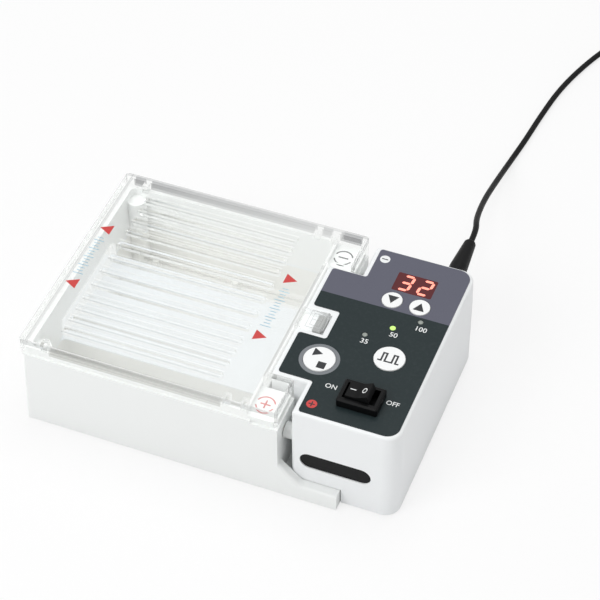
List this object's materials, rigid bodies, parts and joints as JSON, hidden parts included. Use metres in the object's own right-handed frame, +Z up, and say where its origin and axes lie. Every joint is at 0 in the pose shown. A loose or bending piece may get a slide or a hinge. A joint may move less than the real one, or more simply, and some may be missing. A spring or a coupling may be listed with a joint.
{
  "type": "gel electrophoresis tank",
  "caption": "Compact horizontal gel electrophoresis tank with a clear ribbed lid, docked to its own small power unit with a panel, rocker switch and power lead.",
  "frame": {"origin": "on the table, under the middle of the docked tank and power unit", "axes": "+X along the front from the tank to the power unit, +Y to the back, +Z up"},
  "size_m": [0.2918, 0.4534, 0.0667],
  "materials": {
    "tank_white": "satin moulded white",
    "unit_white": "satin moulded white",
    "lid_clear": "clear polished moulding",
    "tray_clear": "clear moulding",
    "panel_print": "fine matt printed film",
    "window_red": "dark red filter",
    "black_plastic": "semi-gloss moulded black",
    "key_white": "satin white caps",
    "key_grey": "light grey",
    "lamp_lens": "diffuse lamp lens",
    "board_green": "solder mask",
    "coil_dark": "ferrite and lacquered wire",
    "can_metal": "sleeved cans",
    "electrode_metal": "drawn wire",
    "terminal_metal": "turned",
    "blade_metal": "plated",
    "screw_steel": "zinc plated",
    "foot_rubber": "moulded",
    "cord_black": "smooth jacket"
  },
  "bodies": {
    "power_unit": {"psu_base": "unit_white", "psu_top_cover": "unit_white", "control_overlay": "panel_print", "display_window": "window_red", "display_module": "black_plastic", "indicator_leds": "lamp_lens", "tact_switches": "black_plastic", "rocker_housing": "black_plastic", "circuit_board": "board_green", "reed_switch": "lamp_lens", "boost_coil": "coil_dark", "capacitors": "can_metal", "slot_insert": "black_plastic", "output_sleeves": "key_grey", "output_pins": "terminal_metal", "psu_feet": "foot_rubber", "case_screws": "screw_steel", "dc_jack": "black_plastic", "dc_plug": "cord_black", "dc_lead": "cord_black", "lead_coil": "cord_black", "lead_tail": "cord_black", "mains_adapter": "black_plastic", "adapter_blades": "blade_metal"},
    "tank": {"tank_body": "tank_white", "anode_wire": "electrode_metal", "cathode_wire": "electrode_metal", "wire_clips": "tank_white", "anode_socket": "terminal_metal", "cathode_socket": "terminal_metal", "tank_feet": "foot_rubber"},
    "lid": {"lid": "lid_clear", "interlock_magnet": "key_grey"},
    "tray": {"gel_tray": "tray_clear"},
    "run_stop_key": {"run_stop_button": "key_white"},
    "voltage_key": {"voltage_button": "key_white"},
    "down_key": {"down_button": "key_white"},
    "up_key": {"up_button": "key_white"},
    "rocker_paddle": {"rocker": "black_plastic"}
  },
  "joints": [
    {"name": "tank_undock", "type": "slide", "parent": "power_unit", "child": "tank", "axis": [-1, 0, 0], "range_m": [0, 0.06]},
    {"name": "lid_lift", "type": "slide", "parent": "tank", "child": "lid", "axis": [0, 0, 1], "range_m": [0, 0.06]},
    {"name": "tray_lift", "type": "slide", "parent": "tank", "child": "tray", "axis": [0, 0, 1], "range_m": [0, 0.012]},
    {"name": "run_stop_press", "type": "slide", "parent": "power_unit", "child": "run_stop_key", "axis": [0, 0, -1], "range_m": [0, 0.0008], "stiffness_N_per_m": 400},
    {"name": "voltage_press", "type": "slide", "parent": "power_unit", "child": "voltage_key", "axis": [0, 0, -1], "range_m": [0, 0.0008], "stiffness_N_per_m": 400},
    {"name": "down_press", "type": "slide", "parent": "power_unit", "child": "down_key", "axis": [0, 0, -1], "range_m": [0, 0.0008], "stiffness_N_per_m": 400},
    {"name": "up_press", "type": "slide", "parent": "power_unit", "child": "up_key", "axis": [0, 0, -1], "range_m": [0, 0.0008], "stiffness_N_per_m": 400},
    {"name": "rocker_turn", "type": "hinge", "parent": "power_unit", "child": "rocker_paddle", "pos_m": [0.0726, -0.0401, 0.0605], "axis": [0, 1, 0], "range_deg": [0, 28]}
  ]
}
